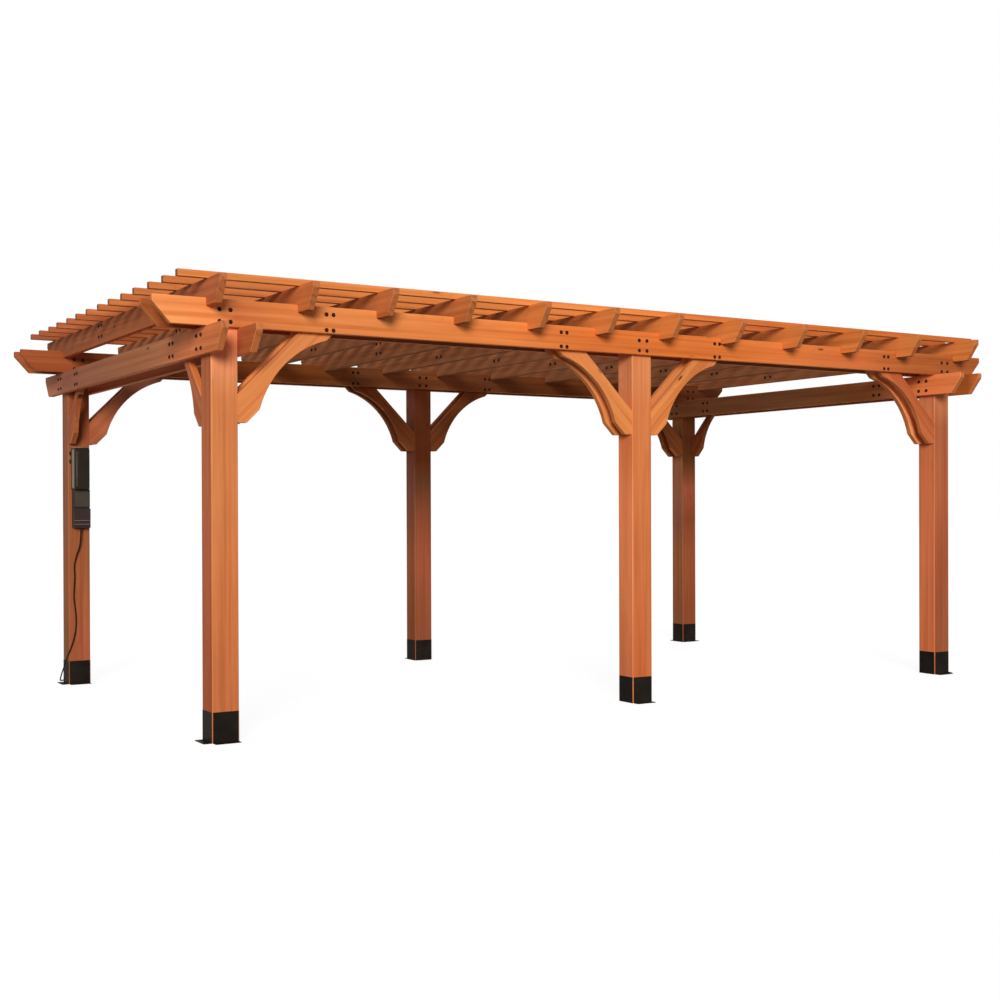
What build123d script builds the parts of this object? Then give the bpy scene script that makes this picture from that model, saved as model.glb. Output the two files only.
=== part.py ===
"""Garden pergola: six posts, doubled beams, notched rafters, purlins and curved knee braces.

Millimetres, +Z up. The origin is on the ground, midway along and across the structure.
X runs along the long side, and the front faces -Y.
"""

import os
from math import cos, pi, sqrt, tan

from build123d import *

# lumber
post = 140
post_edge_radius = 7
board = 38
board_height = 140

# plan of the posts, centre to centre
bay = 2667
depth = 2830
columns = {"left": -bay, "middle": 0, "right": bay}
rows = {"front": -depth / 2, "rear": depth / 2}
beam_offset = (post + board) / 2

# heights
end_beam_bottom = 1985
long_beam_bottom = end_beam_bottom + board_height
long_beam_top = long_beam_bottom + board_height
rafter_notch = 42
rafter_bottom = long_beam_top - rafter_notch
rafter_top = rafter_bottom + board_height
notch_play = 1

# how far each board runs past the centres of the corner posts, and its end profile
nick = 34
long_beam_left_overhang = 387
long_beam_right_overhang = 358
long_beam_cut = 96
end_beam_front_overhang = 335
end_beam_rear_overhang = 396
end_beam_cut = 84
rafter_front_overhang = 310
rafter_rear_overhang = 338
rafter_cut = 76

# the rafters are a little unevenly spaced, measured from the left corner post's centre
rafter_places = (-90, 408, 866, 1345, 1834, 2312, 2791, 3285, 3805, 4330, 4852, 5424)

# purlins
purlin_width = 38
purlin_height = 32
purlin_count = 14
purlin_left_overhang = 271
purlin_right_overhang = 244
purlin_first = 120

# knee braces, measured from the post's face and up from their foot
brace_bottom = 1640
brace_reach = 575
brace_foot = 52
brace_nose = 72
brace_back = 143
brace_throat = 67
brace_in_beam = 90
end_brace_bottoms = {"front": 1625, "rear": 1640}
end_brace_throat = 52
end_brace_in_beam = 120

# steel post bases
plate_width = 112
plate_height = 158
plate_thickness = 4
flange_reach = 46
anchor_radius = 6
anchor_spacing = 70
side_turns = {"right": 0, "rear": 90, "left": 180, "front": 270}
flanged_sides = {
    ("front", "left"): ("left", "front"),
    ("front", "middle"): ("front",),
    ("front", "right"): ("front", "right"),
    ("rear", "left"): ("left", "front"),
    ("rear", "middle"): ("rear",),
    ("rear", "right"): ("rear", "right"),
}

# power box on the front face of the rear left post
box_left = -48
box_right = 62
box_bottom = 1067
box_louvre_top = 1199
box_depth = 66
louvre_count = 3
louvre_pitch = 14
louvre_height = 5
louvre_cut = 6
panel_top = 1329
panel_depth = 50
cover_left = -54
cover_right = 42
cover_top = 1612
cover_depth = 108
cover_edge_radius = 9
box_edge_radius = 4

# mains lead from the box, with its put-away coil behind the post
lead_radius = 4.5
gland_radius = 9
gland_tip_radius = 6
gland_length = 24
coil_turn_radius = 50
coil_rows = 3
coil_layers = 2
plug_offset = 47
plug_length = 46
plug_width = 26
plug_height = 22
blade_length = 16
blade_width = 6.5
blade_thickness = 1.6
blade_spacing = 12.7


def save(piece, name):
    """Label a finished piece and write it to its own file."""
    piece.part.label = name
    export_step(piece.part, f"parts/{name}.step")


def tailed_board(plane, start, end, bottom, cut):
    """A board on edge, centred on a vertical plane, with a nick and a slanted cut at both ends."""
    top = bottom + board_height
    with BuildSketch(plane) as outline:
        with BuildLine():
            Polyline(
                (start + cut, bottom),
                (start, top - nick),
                (start, top),
                (end, top),
                (end, top - nick),
                (end - cut, bottom),
                close=True,
            )
        make_face()
    extrude(outline.sketch, amount=board / 2, both=True)


os.makedirs("parts", exist_ok=True)

# posts
for row_name, y in rows.items():
    for column_name, x in columns.items():
        with BuildPart() as one_post:
            with BuildSketch():
                with Locations((x, y)):
                    RectangleRounded(post, post, post_edge_radius)
            extrude(amount=long_beam_top)
        save(one_post, f"post_{row_name}_{column_name}")


def base_plates(x, y, flanged):
    """Four steel plates round a post's foot; the named sides also turn out along the ground."""
    hole_out = (post + plate_thickness + flange_reach) / 2
    for side, turn in side_turns.items():
        side_plane = Plane(origin=(x, y, 0)).rotated((0, 0, turn))
        profile_plane = Plane(origin=(x, y, 0), x_dir=side_plane.x_dir, z_dir=-side_plane.y_dir)
        with BuildSketch(profile_plane) as profile:
            with Locations((post / 2, 0)):
                Rectangle(plate_thickness, plate_height, align=(Align.MIN, Align.MIN))
                if side in flanged:
                    Rectangle(flange_reach, plate_thickness, align=(Align.MIN, Align.MIN))
        extrude(profile.sketch, amount=plate_width / 2, both=True)
        if side in flanged:
            with Locations(side_plane.offset(plate_thickness)):
                with Locations((hole_out, -anchor_spacing / 2), (hole_out, anchor_spacing / 2)):
                    Hole(anchor_radius, depth=plate_thickness)


for (row_name, column_name), flanged in flanged_sides.items():
    with BuildPart() as one_base:
        base_plates(columns[column_name], rows[row_name], flanged)
    save(one_base, f"base_{row_name}_{column_name}")

# long beams, a board on each side of a row of posts
for row_name, y in rows.items():
    with BuildPart() as long_beam:
        for offset in (-beam_offset, beam_offset):
            board_plane = Plane.XZ.offset(-(y + offset))
            tailed_board(
                board_plane,
                -bay - long_beam_left_overhang,
                bay + long_beam_right_overhang,
                long_beam_bottom,
                long_beam_cut,
            )
    save(long_beam, f"long_beam_{row_name}")

# end beams, a board on each side of the posts at one end
for column_name in ("left", "right"):
    with BuildPart() as end_beam:
        for offset in (-beam_offset, beam_offset):
            board_plane = Plane.YZ.offset(columns[column_name] + offset)
            tailed_board(
                board_plane,
                -depth / 2 - end_beam_front_overhang,
                depth / 2 + end_beam_rear_overhang,
                end_beam_bottom,
                end_beam_cut,
            )
    save(end_beam, f"end_beam_{column_name}")

# rafters, notched over the four long beam boards
notch_centres = [y + offset for y in rows.values() for offset in (-beam_offset, beam_offset)]
for number, place in enumerate(rafter_places, start=1):
    board_plane = Plane.YZ.offset(place - bay)
    with BuildPart() as rafter:
        tailed_board(
            board_plane,
            -depth / 2 - rafter_front_overhang,
            depth / 2 + rafter_rear_overhang,
            rafter_bottom,
            rafter_cut,
        )
        with BuildSketch(board_plane):
            with Locations([(centre, rafter_bottom) for centre in notch_centres]):
                Rectangle(board + 2 * notch_play, 2 * rafter_notch)
        extrude(amount=board / 2, both=True, mode=Mode.SUBTRACT)
    save(rafter, f"rafter_{number:02d}")

# purlins along the top, a row of separate battens in each half
purlin_pitch = (depth + 2 * purlin_first) / (purlin_count - 1)
purlin_length = 2 * bay + purlin_left_overhang + purlin_right_overhang
purlin_middle = (purlin_right_overhang - purlin_left_overhang) / 2
for half_name, first in (("front", 0), ("rear", purlin_count // 2)):
    with BuildPart() as purlins:
        with BuildSketch(Plane.XY.offset(rafter_top)):
            for index in range(first, first + purlin_count // 2):
                with Locations((purlin_middle, -depth / 2 - purlin_first + index * purlin_pitch)):
                    Rectangle(purlin_length, purlin_width)
        extrude(amount=purlin_height)
    save(purlins, f"purlins_{half_name}")


def mirrored(point):
    """The same point at the other end of a brace, whose two ends are alike."""
    return (brace_reach - point[1], brace_reach - point[0])


def brace_board(plane, rise, throat):
    """A curved board, centred on its plane; x runs out from the post's face and y up from the foot."""
    heel = (0, brace_back)
    corner = (0, 0)
    foot = (brace_foot, 0)
    nose = (brace_foot + brace_nose, brace_nose)
    throat_out = (brace_reach - brace_back) / 2 + throat / sqrt(2)
    throat_point = (throat_out, brace_reach - throat_out)
    with BuildSketch(plane) as outline:
        with BuildLine():
            Polyline(nose, foot, corner, heel)
            Line(heel, mirrored(heel))
            Polyline(mirrored(heel), mirrored(corner), mirrored(foot), mirrored(nose))
            ThreePointArc(mirrored(nose), throat_point, nose)
        make_face()
        with Locations((brace_reach / 2, rise)):
            Rectangle(
                2 * brace_reach,
                brace_reach,
                align=(Align.CENTER, Align.MIN),
                mode=Mode.SUBTRACT,
            )
    extrude(outline.sketch, amount=board / 2, both=True)


# knee braces under the long beams, two boards each, flush with the post's front and rear faces
flush = (post - board) / 2
long_brace_ways = {"left": (1,), "middle": (-1, 1), "right": (-1,)}
for row_name, y in rows.items():
    for column_name, ways in long_brace_ways.items():
        with BuildPart() as long_braces:
            for way in ways:
                for offset in (-flush, flush):
                    foot_corner = (columns[column_name] + way * post / 2, y + offset, brace_bottom)
                    board_plane = Plane(origin=foot_corner, x_dir=(way, 0, 0), z_dir=(0, -way, 0))
                    brace_board(
                        board_plane,
                        long_beam_bottom + brace_in_beam - brace_bottom,
                        brace_throat,
                    )
        save(long_braces, f"long_brace_{row_name}_{column_name}")

# knee braces under the end beams, one board each, flush with the post's outer face
for column_name, outer in (("left", -1), ("right", 1)):
    with BuildPart() as end_braces:
        for row_name, way in (("front", 1), ("rear", -1)):
            bottom = end_brace_bottoms[row_name]
            foot_corner = (
                columns[column_name] + outer * flush,
                rows[row_name] + way * post / 2,
                bottom,
            )
            board_plane = Plane(origin=foot_corner, x_dir=(0, way, 0), z_dir=(way, 0, 0))
            brace_board(board_plane, end_beam_bottom + end_brace_in_beam - bottom, end_brace_throat)
    save(end_braces, f"end_braces_{column_name}")

# power box, a louvred foot and a recessed panel in one housing
post_face = rows["rear"] - post / 2
post_x = columns["left"]


def housing_block(left, right, bottom, top, reach):
    """A block that stands out from the post's front face."""
    with BuildSketch(Plane.XY.offset(bottom)) as footprint:
        with Locations((post_x + left, post_face)):
            Rectangle(right - left, reach, align=(Align.MIN, Align.MAX))
    extrude(footprint.sketch, amount=top - bottom)


with BuildPart() as power_box:
    housing_block(box_left, box_right, box_bottom, box_louvre_top, box_depth)
    outer_edges = power_box.edges().filter_by(Axis.Z).group_by(Axis.Y)[0]
    fillet(outer_edges, box_edge_radius)
    housing_block(box_left, cover_right, box_louvre_top, panel_top, panel_depth)
    with BuildSketch(Plane.XZ.offset(-(post_face - box_depth))):
        with Locations((post_x + (box_left + box_right) / 2, box_bottom + louvre_pitch)):
            with GridLocations(0, louvre_pitch, 1, louvre_count, align=(Align.CENTER, Align.MIN)):
                Rectangle(box_right - box_left, louvre_height)
    extrude(amount=-louvre_cut, mode=Mode.SUBTRACT)
save(power_box, "power_box")

with BuildPart() as power_box_cover:
    housing_block(cover_left, cover_right, panel_top, cover_top, cover_depth)
    outer_edges = power_box_cover.edges().filter_by(Axis.Z).group_by(Axis.Y)[0]
    fillet(outer_edges, cover_edge_radius)
    fillet(power_box_cover.faces().sort_by(Axis.Z)[-1].edges().group_by(Axis.Y)[0], box_edge_radius)
save(power_box_cover, "power_box_cover")

# where the lead leaves the box
lead_start_x = post_x + 4
lead_start_y = post_face - box_depth / 2

with BuildPart() as lead_gland:
    with BuildSketch(Plane.XY.offset(box_bottom)):
        with Locations((lead_start_x, lead_start_y)):
            Circle(gland_radius)
    with BuildSketch(Plane.XY.offset(box_bottom - gland_length)):
        with Locations((lead_start_x, lead_start_y)):
            Circle(gland_tip_radius)
    loft()
save(lead_gland, "lead_gland")

# the coil lies flat on the ground behind the post
coil_x = post_x + 38
coil_y = rows["rear"] + 185
coil_outer = coil_turn_radius + coil_rows * lead_radius
coil_inner = coil_turn_radius - coil_rows * lead_radius
coil_height = coil_layers * 2 * lead_radius

with BuildPart() as lead_coil:
    with BuildSketch():
        with Locations((coil_x, coil_y)):
            Circle(coil_outer)
            Circle(coil_inner, mode=Mode.SUBTRACT)
    extrude(amount=coil_height)
save(lead_coil, "lead_coil")

# the lead's route, in millimetres across from the post's centre line and out from its front face
lead_route = [
    (post_x + across, post_face - out, height)
    for across, out, height in (
        (4, 33, 1043),
        (4, 33, 1000),
        (-3, 26, 935),
        (-24, 17, 875),
        (-38, 12, 805),
        (-31, 11, 735),
        (-37, 11, 660),
        (-41, 11, 590),
        (-31, 11, 520),
        (-24, 11, 445),
        (-27, 12, 375),
        (-40, 12, 310),
        (-60, 12, 250),
        (-80, 6, 200),
        (-89, -18, 158),
        (-90, -55, 118),
        (-91, -100, 80),
        (-92, -140, 40),
        (-88, -175, 12),
        (-76, -203, 6),
        (-53, -226, 5),
        (-22.55, -235.68, 4.6),
    )
]


def tangent_arc_path(points):
    """Straight runs joined by arcs, each as large as its two runs allow."""
    points = [Vector(*point) for point in points]
    last_end = points[0]
    for before, corner, after in zip(points, points[1:], points[2:]):
        run_in = corner - before
        run_out = after - corner
        reach = 0.45 * min(run_in.length, run_out.length)
        arc_start = corner - run_in.normalized() * reach
        arc_end = corner + run_out.normalized() * reach
        half_turn = run_in.get_angle(run_out) / 2 * pi / 180
        print(f"lead bend radius {reach / tan(half_turn):.0f} mm")
        toward_centre = (run_out.normalized() - run_in.normalized()).normalized()
        chord_middle = (arc_start + arc_end) * 0.5
        sagitta = reach * cos(half_turn) * tan(half_turn / 2)
        Line(last_end, arc_start)
        ThreePointArc(arc_start, chord_middle - toward_centre * sagitta, arc_end)
        last_end = arc_end
    Line(last_end, points[-1])


with BuildPart() as lead:
    with BuildLine() as lead_path:
        tangent_arc_path(lead_route)
    with BuildSketch(lead_path.line ^ 0):
        Circle(lead_radius)
    sweep()
lead_length = sum(edge.length for edge in lead_path.edges())
section_times_length = pi * lead_radius**2 * lead_length
print(f"lead length {lead_length:.0f} mm")
print(f"lead volume {lead.part.volume:.0f} mm3, section times length {section_times_length:.0f} mm3")
save(lead, "lead")

# the plug lies across the turns on the far side of the coil
plug_y = coil_y + plug_offset
with BuildPart() as lead_plug:
    with BuildSketch(Plane.XY.offset(coil_height)):
        with Locations((coil_x, plug_y)):
            Rectangle(plug_length, plug_width)
    extrude(amount=plug_height)
    fillet(lead_plug.edges().filter_by(Axis.Z), 5)
    with BuildSketch(Plane.YZ.offset(coil_x + plug_length / 2)):
        with Locations((plug_y, coil_height + plug_height / 2)):
            with GridLocations(blade_spacing, 0, 2, 1):
                Rectangle(blade_thickness, blade_width)
    extrude(amount=blade_length)
save(lead_plug, "lead_plug")
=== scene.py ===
"""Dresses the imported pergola: stained boards with eased edges, bolts, post feet, power box and lead."""

import math
import random

import bmesh
import bpy
from mathutils import Matrix, Vector


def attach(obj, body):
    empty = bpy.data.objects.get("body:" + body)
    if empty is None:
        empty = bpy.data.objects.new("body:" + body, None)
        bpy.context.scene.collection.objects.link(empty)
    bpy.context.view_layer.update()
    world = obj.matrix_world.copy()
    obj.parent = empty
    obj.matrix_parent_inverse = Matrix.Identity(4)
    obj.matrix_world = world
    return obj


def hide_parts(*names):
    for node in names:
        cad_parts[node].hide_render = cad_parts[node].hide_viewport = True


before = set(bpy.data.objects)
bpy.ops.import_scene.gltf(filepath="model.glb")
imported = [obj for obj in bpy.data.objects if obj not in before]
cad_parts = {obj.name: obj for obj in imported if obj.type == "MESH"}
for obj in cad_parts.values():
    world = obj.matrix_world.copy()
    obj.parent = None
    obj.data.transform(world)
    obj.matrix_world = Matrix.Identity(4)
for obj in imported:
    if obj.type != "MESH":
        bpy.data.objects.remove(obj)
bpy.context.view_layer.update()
scene = bpy.context.scene
scene.view_settings.view_transform = "Standard"
rng = random.Random(7)

UP = Vector((0, 0, 1))
SIDES = {
    "right": Vector((1, 0, 0)),
    "rear": Vector((0, 1, 0)),
    "left": Vector((-1, 0, 0)),
    "front": Vector((0, -1, 0)),
    "under": Vector((0, 0, -1)),
}

# the frame's dimensions, in metres, as the solids have them
POST = 0.140
POST_RADIUS = 0.007
BOARD = 0.038
BOARD_HEIGHT = 0.140
BAY = 2.667
HALF_DEPTH = 1.415
BEAM_OFFSET = (POST + BOARD) / 2
COLUMNS = {"left": -BAY, "middle": 0.0, "right": BAY}
ROWS = {"front": -HALF_DEPTH, "rear": HALF_DEPTH}
END_BEAM_BOTTOM = 1.985
LONG_BEAM_BOTTOM = END_BEAM_BOTTOM + BOARD_HEIGHT
LONG_BEAM_TOP = LONG_BEAM_BOTTOM + BOARD_HEIGHT
NOTCH = 0.042
RAFTER_BOTTOM = LONG_BEAM_TOP - NOTCH
RAFTER_TOP = RAFTER_BOTTOM + BOARD_HEIGHT
NICK = 0.034
RAFTER_PLACES = (-0.090, 0.408, 0.866, 1.345, 1.834, 2.312, 2.791, 3.285, 3.805, 4.330, 4.852, 5.424)
PURLIN_WIDTH = 0.038
PURLIN_HEIGHT = 0.032
PURLIN_LAP = 0.004
PURLIN_COUNT = 14
PURLIN_FIRST = 0.120
BRACE_BOTTOM = 1.640
BRACE_REACH = 0.575
BRACE_FOOT = 0.052
BRACE_NOSE = 0.072
BRACE_BACK = 0.143
BRACE_THROAT = 0.067
BRACE_LAP = 0.090
END_BRACE_THROAT = 0.052
END_BRACE_BOTTOMS = {"front": 1.625, "rear": 1.640}
END_BRACE_LAP = 0.120

# how far the boards reach past the posts' centres at their two ends, and how far their ends slant
LONG_BEAM_ENDS = (0.387, 0.358)
LONG_BEAM_CUT = 0.096
END_BEAM_ENDS = (0.335, 0.396)
END_BEAM_CUT = 0.084
RAFTER_ENDS = (0.310, 0.338)
RAFTER_CUT = 0.076
PURLIN_ENDS = (0.271, 0.244)
PURLIN_UNEVENNESS = 0.010

# how wide the eased edges are, and how much play a notch leaves on each side of its board
POST_EASING = 0.002
BOARD_EASING = 0.003
PURLIN_EASING = 0.0025
NOTCH_PLAY = 0.001


# camera

CAMERA_PLACE = Vector((-5.18174, -8.31532, 1.20517))
CAMERA_YAW = 0.553277
CAMERA_PITCH = -0.004747
CAMERA_ROLL = -0.003261
FOCAL_PIXELS = 1394.0
IMAGE_PIXELS = 1000
CENTRE_PIXEL = (508.0, 512.9)


def add_camera():
    """The photograph's viewpoint."""
    level = math.cos(CAMERA_PITCH)
    forward = Vector((math.sin(CAMERA_YAW) * level, math.cos(CAMERA_YAW) * level, math.sin(CAMERA_PITCH)))
    flat_right = Vector((math.cos(CAMERA_YAW), -math.sin(CAMERA_YAW), 0))
    flat_up = flat_right.cross(forward)
    right = flat_right * math.cos(CAMERA_ROLL) + flat_up * math.sin(CAMERA_ROLL)
    upward = flat_up * math.cos(CAMERA_ROLL) - flat_right * math.sin(CAMERA_ROLL)
    data = bpy.data.cameras.new("camera")
    data.sensor_width = 36
    data.lens = FOCAL_PIXELS * data.sensor_width / IMAGE_PIXELS
    data.shift_x = 0.5 - CENTRE_PIXEL[0] / IMAGE_PIXELS
    data.shift_y = CENTRE_PIXEL[1] / IMAGE_PIXELS - 0.5
    data.clip_end = 200
    camera = bpy.data.objects.new("camera", data)
    scene.collection.objects.link(camera)
    turn = Matrix((right, upward, -forward)).transposed().to_4x4()
    camera.matrix_world = Matrix.Translation(CAMERA_PLACE) @ turn
    scene.camera = camera


add_camera()


# light, floor and background

SUN_AZIMUTH = math.radians(30)
SUN_HEIGHT = math.radians(13.5)
SUN_SOFTNESS = math.radians(20)
SUN_STRENGTH = 2.7
SUN_COLOUR = (1.0, 0.95, 0.88)
SKY_COLOUR = (0.27, 0.28, 0.30, 1)
WHITE = (1, 1, 1, 1)
FLOOR_HALF = 60
FLOOR_LIT_COLOUR = (0.16, 0.15, 0.14, 1)
FLOOR_SEEN_COLOUR = (0.25, 0.25, 0.25, 1)
FLOOR_GLOW = 0.88


def add_sun():
    """A soft sun that shines from the front, turned by its azimuth toward the left."""
    data = bpy.data.lights.new("sun", "SUN")
    data.energy = SUN_STRENGTH
    data.color = SUN_COLOUR
    data.angle = SUN_SOFTNESS
    lamp = bpy.data.objects.new("sun", data)
    travel = Vector((math.sin(SUN_AZIMUTH), math.cos(SUN_AZIMUTH), -math.tan(SUN_HEIGHT)))
    lamp.rotation_euler = travel.to_track_quat("-Z", "Y").to_euler()
    scene.collection.objects.link(lamp)


def new_material(name):
    """A node material with only a principled shader, and its tree."""
    material = bpy.data.materials.new(name)
    material.use_nodes = True
    return material, material.node_tree


def put(tree, kind, **settings):
    """A new node, with its settings and the values or links of its inputs."""
    node = tree.nodes.new(kind)
    for key, value in settings.items():
        if hasattr(value, "is_output"):
            tree.links.new(value, node.inputs[key])
        elif key in node.inputs.keys():
            node.inputs[key].default_value = value
        else:
            setattr(node, key, value)
    return node


def math_node(tree, operation, *values, clamp=False):
    """A maths node's output; each value is a number or another node's output."""
    node = tree.nodes.new("ShaderNodeMath")
    node.operation = operation
    node.use_clamp = clamp
    for socket, value in zip(node.inputs, values):
        if hasattr(value, "is_output"):
            tree.links.new(value, socket)
        else:
            socket.default_value = value
    return node.outputs[0]


def mixed(tree, factor, first, second, blend="MIX"):
    """Two colours mixed; each is a colour or another node's output."""
    node = tree.nodes.new("ShaderNodeMix")
    node.data_type = "RGBA"
    node.blend_type = blend
    for index, value in ((0, factor), (6, first), (7, second)):
        if hasattr(value, "is_output"):
            tree.links.new(value, node.inputs[index])
        else:
            node.inputs[index].default_value = value
    return node.outputs[2]


def ramp(tree, factor, *stops):
    """A colour ramp's output, from (position, colour) stops."""
    node = tree.nodes.new("ShaderNodeValToRGB")
    elements = node.color_ramp.elements
    while len(elements) < len(stops):
        elements.new(0.5)
    for element, (position, colour) in zip(elements, stops):
        element.position = position
        element.color = colour if hasattr(colour, "__len__") else (colour, colour, colour, 1)
    tree.links.new(factor, node.inputs[0])
    return node.outputs[0]


def grey(tree, value):
    """A grey of the given brightness."""
    return put(tree, "ShaderNodeCombineXYZ", X=value, Y=value, Z=value).outputs[0]


def scaled(colour, *factors):
    """A colour with its three channels scaled, ready for a colour socket."""
    return tuple(min(1.0, channel * factor) for channel, factor in zip(colour, factors)) + (1,)


def seen_rays(tree):
    """1 where the camera, a glossy ray or a transmitted ray looks, and 0 for the light itself."""
    path = tree.nodes.new("ShaderNodeLightPath")
    rays = math_node(tree, "MAXIMUM", path.outputs["Is Camera Ray"], path.outputs["Is Glossy Ray"])
    return math_node(tree, "MAXIMUM", rays, path.outputs["Is Transmission Ray"])


def add_world():
    """White where it is looked at, and a soft cool sky for the light."""
    world = bpy.data.worlds.new("sky")
    world.use_nodes = True
    tree = world.node_tree
    shade = tree.nodes["Background"]
    colour = mixed(tree, seen_rays(tree), SKY_COLOUR, WHITE)
    tree.links.new(colour, shade.inputs["Color"])
    shade.inputs["Strength"].default_value = 1.0
    scene.world = world


def add_floor():
    """A pale floor that keeps a faint shadow and throws little light back up."""
    bm = bmesh.new()
    bmesh.ops.create_grid(bm, x_segments=8, y_segments=8, size=FLOOR_HALF)
    mesh = bpy.data.meshes.new("floor")
    bm.to_mesh(mesh)
    bm.free()
    floor = bpy.data.objects.new("floor", mesh)
    scene.collection.objects.link(floor)
    material, tree = new_material("floor")
    shader = tree.nodes["Principled BSDF"]
    seen = seen_rays(tree)
    shader.inputs["Roughness"].default_value = 0.9
    shader.inputs["Specular IOR Level"].default_value = 0.1
    colour = mixed(tree, seen, FLOOR_LIT_COLOUR, FLOOR_SEEN_COLOUR)
    tree.links.new(colour, shader.inputs["Base Color"])
    shader.inputs["Emission Color"].default_value = WHITE
    glow = math_node(tree, "MULTIPLY", seen, FLOOR_GLOW)
    tree.links.new(glow, shader.inputs["Emission Strength"])
    mesh.materials.append(material)


add_world()
add_floor()
add_sun()


# materials


KNOT_COLOUR = (0.09, 0.03, 0.012, 1)
RING_DENSITY = 120.0
RING_BEND = 34.0
RING_SWELL = 12.0


def cedar(name, colour, knots, streaks, wear_and_highlight, end_colour, shine=0.12):
    """Stained cedar whose fibres, growth rings and knots follow the board's own grain.

    Knots, streaks and wear say how strongly each of them shows; the pale eased edges that wear sets are
    partly wear and partly a painted highlight.
    """
    material, tree = new_material(name)
    shader = tree.nodes["Principled BSDF"]
    grain = put(tree, "ShaderNodeAttribute", attribute_name="grain").outputs["Vector"]
    painted_light_tint = put(tree, "ShaderNodeAttribute", attribute_name="painted_light_tint").outputs["Vector"]
    edge = put(tree, "ShaderNodeAttribute", attribute_name="edge").outputs["Fac"]
    ends = put(tree, "ShaderNodeAttribute", attribute_name="ends").outputs["Fac"]
    pale = scaled(colour, 1.10, 1.18, 1.24)
    warm = scaled(colour, 1.0, 1.0, 1.0)
    deep = scaled(colour, 0.84, 0.74, 0.66)

    def noise(along, across, detail, rough):
        place = put(tree, "ShaderNodeMapping", Vector=grain, Scale=(along, across, across)).outputs[0]
        settings = {"Scale": 1.0, "Detail": detail, "Roughness": rough}
        return put(tree, "ShaderNodeTexNoise", Vector=place, **settings).outputs[0]

    # knots, ovals far apart, that push the growth rings aside
    knot_place = put(tree, "ShaderNodeMapping", Vector=grain, Scale=(1.0, 3.4, 1.2)).outputs[0]
    wander = math_node(tree, "MULTIPLY", noise(6.0, 30.0, 2.0, 0.5), 0.05)
    knot_field = put(tree, "ShaderNodeTexVoronoi", Vector=knot_place, Scale=2.1, Randomness=0.9)
    knot_reach = math_node(tree, "SUBTRACT", knot_field.outputs["Distance"], wander)
    knot = ramp(tree, knot_reach, (0.010, 1.0), (0.045, 0.0))
    knot_swell = ramp(tree, knot_reach, (0.0, 1.0), (0.22, 0.0))

    # growth rings as thin, drawn-out lines that come and go
    parts = put(tree, "ShaderNodeSeparateXYZ", Vector=grain).outputs
    depth_in = math_node(tree, "MULTIPLY_ADD", parts[2], 0.6, parts[1])
    bend = noise(0.7, 6.0, 3.0, 0.5)
    phase = math_node(tree, "MULTIPLY", depth_in, RING_DENSITY)
    phase = math_node(tree, "MULTIPLY_ADD", bend, RING_BEND, phase)
    phase = math_node(tree, "MULTIPLY_ADD", knot_swell, RING_SWELL, phase)
    rings = math_node(tree, "MULTIPLY_ADD", math_node(tree, "SINE", phase), 0.5, 0.5)
    rings = math_node(tree, "POWER", rings, 3.0)
    presence = ramp(tree, noise(0.5, 9.0, 2.0, 0.5), (0.40, 0.0), (0.62, 1.0))
    rings = math_node(tree, "MULTIPLY", rings, presence)

    # fine fibres, broad streaks and blotches where the stain took unevenly
    fibre = noise(5.0, 420.0, 3.0, 0.6)
    streak = noise(0.6, 34.0, 4.0, 0.6)
    blotch = noise(1.4, 4.0, 3.0, 0.5)
    spread = 0.16 / streaks
    body = ramp(tree, streak, (0.5 - spread, deep), (0.5, warm), (0.5 + spread, pale))
    body = mixed(tree, math_node(tree, "MULTIPLY", rings, 0.30), body, scaled(colour, 0.72, 0.60, 0.50))
    shade = math_node(tree, "MULTIPLY_ADD", blotch, 0.40, 0.80)
    shade = math_node(tree, "MULTIPLY", shade, math_node(tree, "MULTIPLY_ADD", fibre, 0.16, 0.92))
    body = mixed(tree, 1.0, body, grey(tree, shade), "MULTIPLY")
    body = mixed(tree, math_node(tree, "MULTIPLY", knot, 0.75 * knots), body, KNOT_COLOUR)
    # pale eased edges: partly wear, partly a painted highlight
    wear_and_highlight_reach = math_node(tree, "MULTIPLY_ADD", streak, 0.9 * wear_and_highlight, -0.10 * wear_and_highlight)
    worn_and_highlit = math_node(tree, "MULTIPLY", edge, wear_and_highlight_reach, clamp=True)
    body = mixed(tree, worn_and_highlit, body, scaled(pale, 1.15, 1.25, 1.3))
    ring_shade = grey(tree, math_node(tree, "MULTIPLY_ADD", rings, -0.4, 1.0))
    end_grain = mixed(tree, 1.0, (*end_colour, 1), ring_shade, "MULTIPLY")
    body = mixed(tree, math_node(tree, "MULTIPLY", ends, 0.8), body, end_grain)
    # painted light and shade, with some uneven stain, that each face carries as a factor on its colour
    body = mixed(tree, 1.0, body, painted_light_tint, "MULTIPLY")
    tree.links.new(body, shader.inputs["Base Color"])

    rough = math_node(tree, "MULTIPLY_ADD", fibre, 0.18, 0.56)
    tree.links.new(rough, shader.inputs["Roughness"])
    shader.inputs["Specular IOR Level"].default_value = shine
    relief = math_node(tree, "MULTIPLY_ADD", rings, 0.35, math_node(tree, "MULTIPLY", fibre, 0.5))
    relief = math_node(tree, "MULTIPLY_ADD", knot, -0.8, relief)
    bump = put(tree, "ShaderNodeBump", Height=relief, Strength=0.3, Distance=0.001)
    tree.links.new(bump.outputs[0], shader.inputs["Normal"])
    return material


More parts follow.
